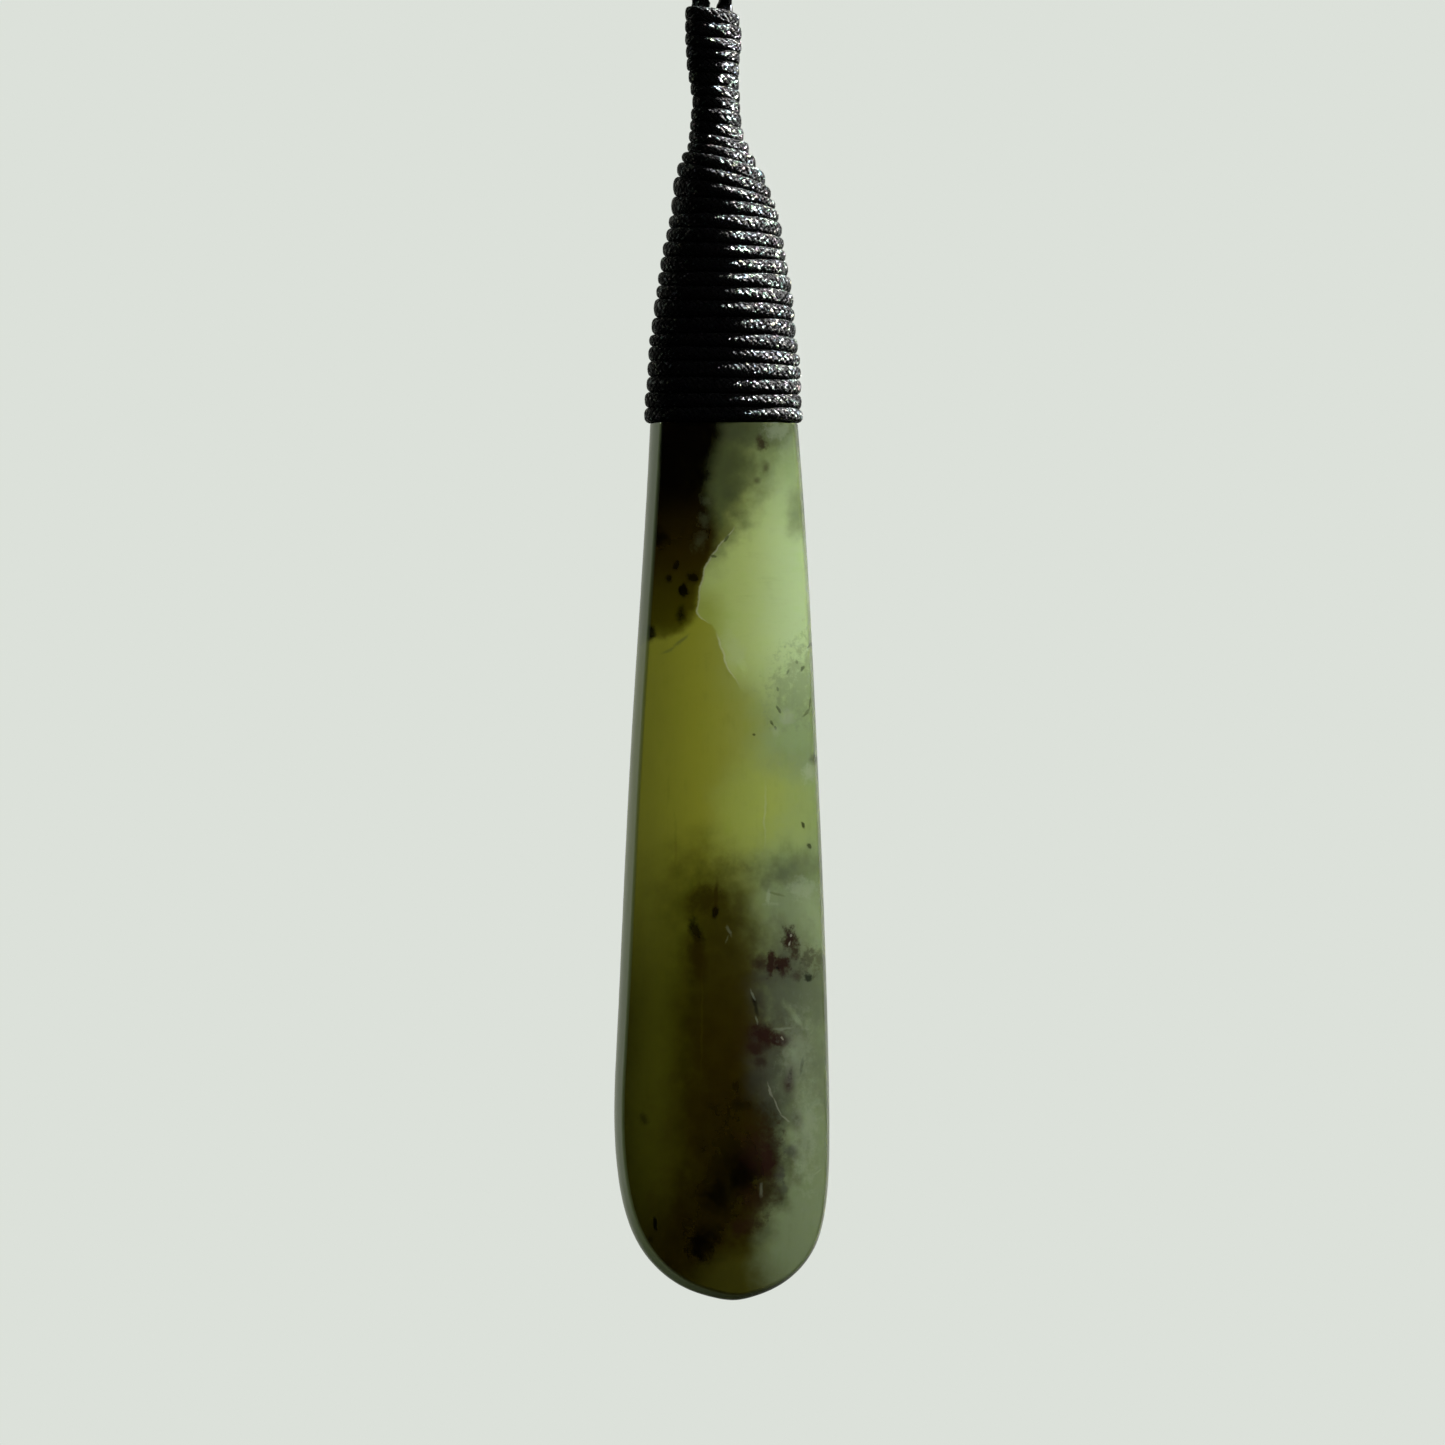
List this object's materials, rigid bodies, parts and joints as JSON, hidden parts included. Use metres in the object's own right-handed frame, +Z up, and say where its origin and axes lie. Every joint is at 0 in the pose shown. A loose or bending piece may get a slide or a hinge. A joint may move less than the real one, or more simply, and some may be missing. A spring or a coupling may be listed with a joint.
{
  "type": "greenstone teardrop pendant necklace",
  "caption": "Long polished greenstone drop bound with wound black waxed cord, hung from a plaited neck cord.",
  "frame": {"origin": "inside of the neck cord's top, where it lies on the neck, midway between its two legs", "axes": "+Z up, the pendant hanging below; -Y the way the stone faces; +X to the right as seen from its face"},
  "size_m": [0.1252, 0.0068, 0.3717],
  "materials": {
    "greenstone": "polished stone",
    "waxed_cord": "waxed, wound tight",
    "plaited_cord": "waxed, fine plait"
  },
  "bodies": {
    "root": {"stone": "greenstone", "winding": "waxed_cord", "neck_cord": "plaited_cord"}
  },
  "joints": []
}
